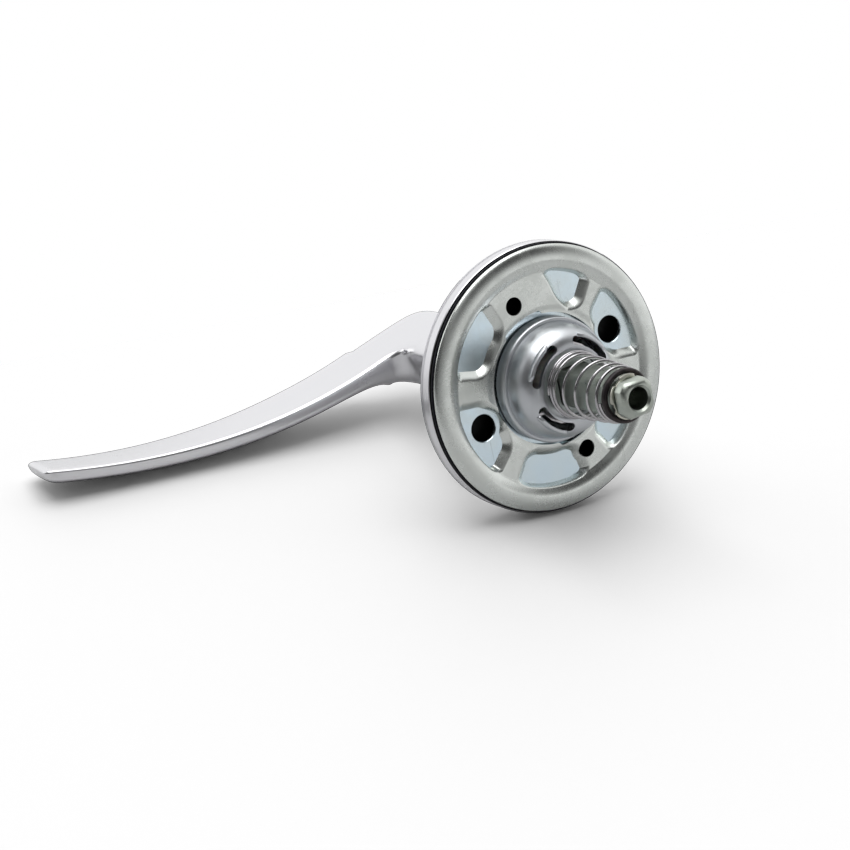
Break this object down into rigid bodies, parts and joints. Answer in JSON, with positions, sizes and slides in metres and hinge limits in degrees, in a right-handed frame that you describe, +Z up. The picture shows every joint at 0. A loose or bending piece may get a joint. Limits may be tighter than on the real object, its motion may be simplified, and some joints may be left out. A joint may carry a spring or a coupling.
{
  "type": "door lever handle",
  "caption": "Sprung door lever on a round rose: cast lever with a curved blade, pressed back plate, domed spring cup, square spindle with a coil spring, washer and clip.",
  "frame": {"origin": "where the spindle's axis meets the door's face", "axes": "+Y along the spindle into the door, +X along the lever, +Z up as installed"},
  "size_m": [0.13, 0.1006, 0.06],
  "materials": {
    "satin_chrome": "satin chrome plating",
    "zinc_plate": "bright zinc plating with a yellow-green cast",
    "blue_zinc": "blue-passivated zinc plating",
    "cup_steel": "drawn steel, zinc plated",
    "black_rubber": "matt black",
    "black_steel": "blackened",
    "spring_steel": "bright drawn wire",
    "spindle_steel": "zinc plated, olive cast",
    "sleeve_steel": "zinc plated",
    "clip_zinc": "cream zinc plating",
    "white_nylon": "matt white"
  },
  "bodies": {
    "rose": {"rose_cover": "satin_chrome", "gasket_ring": "black_rubber", "back_plate": "zinc_plate", "inner_plate": "blue_zinc", "spring_cup": "cup_steel", "neck_bush": "white_nylon", "cup_bearing": "white_nylon", "stop_ring": "spring_steel", "return_spring": "spring_steel"},
    "driver": {"sleeve": "sleeve_steel", "compression_spring": "spring_steel"},
    "lever": {"lever": "satin_chrome", "grub_screw": "spring_steel", "spindle": "spindle_steel", "end_washer": "black_steel", "star_clip": "clip_zinc"}
  },
  "joints": [
    {"name": "lever_turn", "type": "hinge", "parent": "rose", "child": "driver", "pos_m": [0, 0, 0], "axis": [0, 1, 0], "range_deg": [-45, 45], "stiffness_Nm_per_rad": 1.5},
    {"name": "lever_pull", "type": "slide", "parent": "driver", "child": "lever", "axis": [0, -1, 0], "range_m": [0, 0.006], "stiffness_N_per_m": 800, "deforming": ["compression_spring"]}
  ]
}
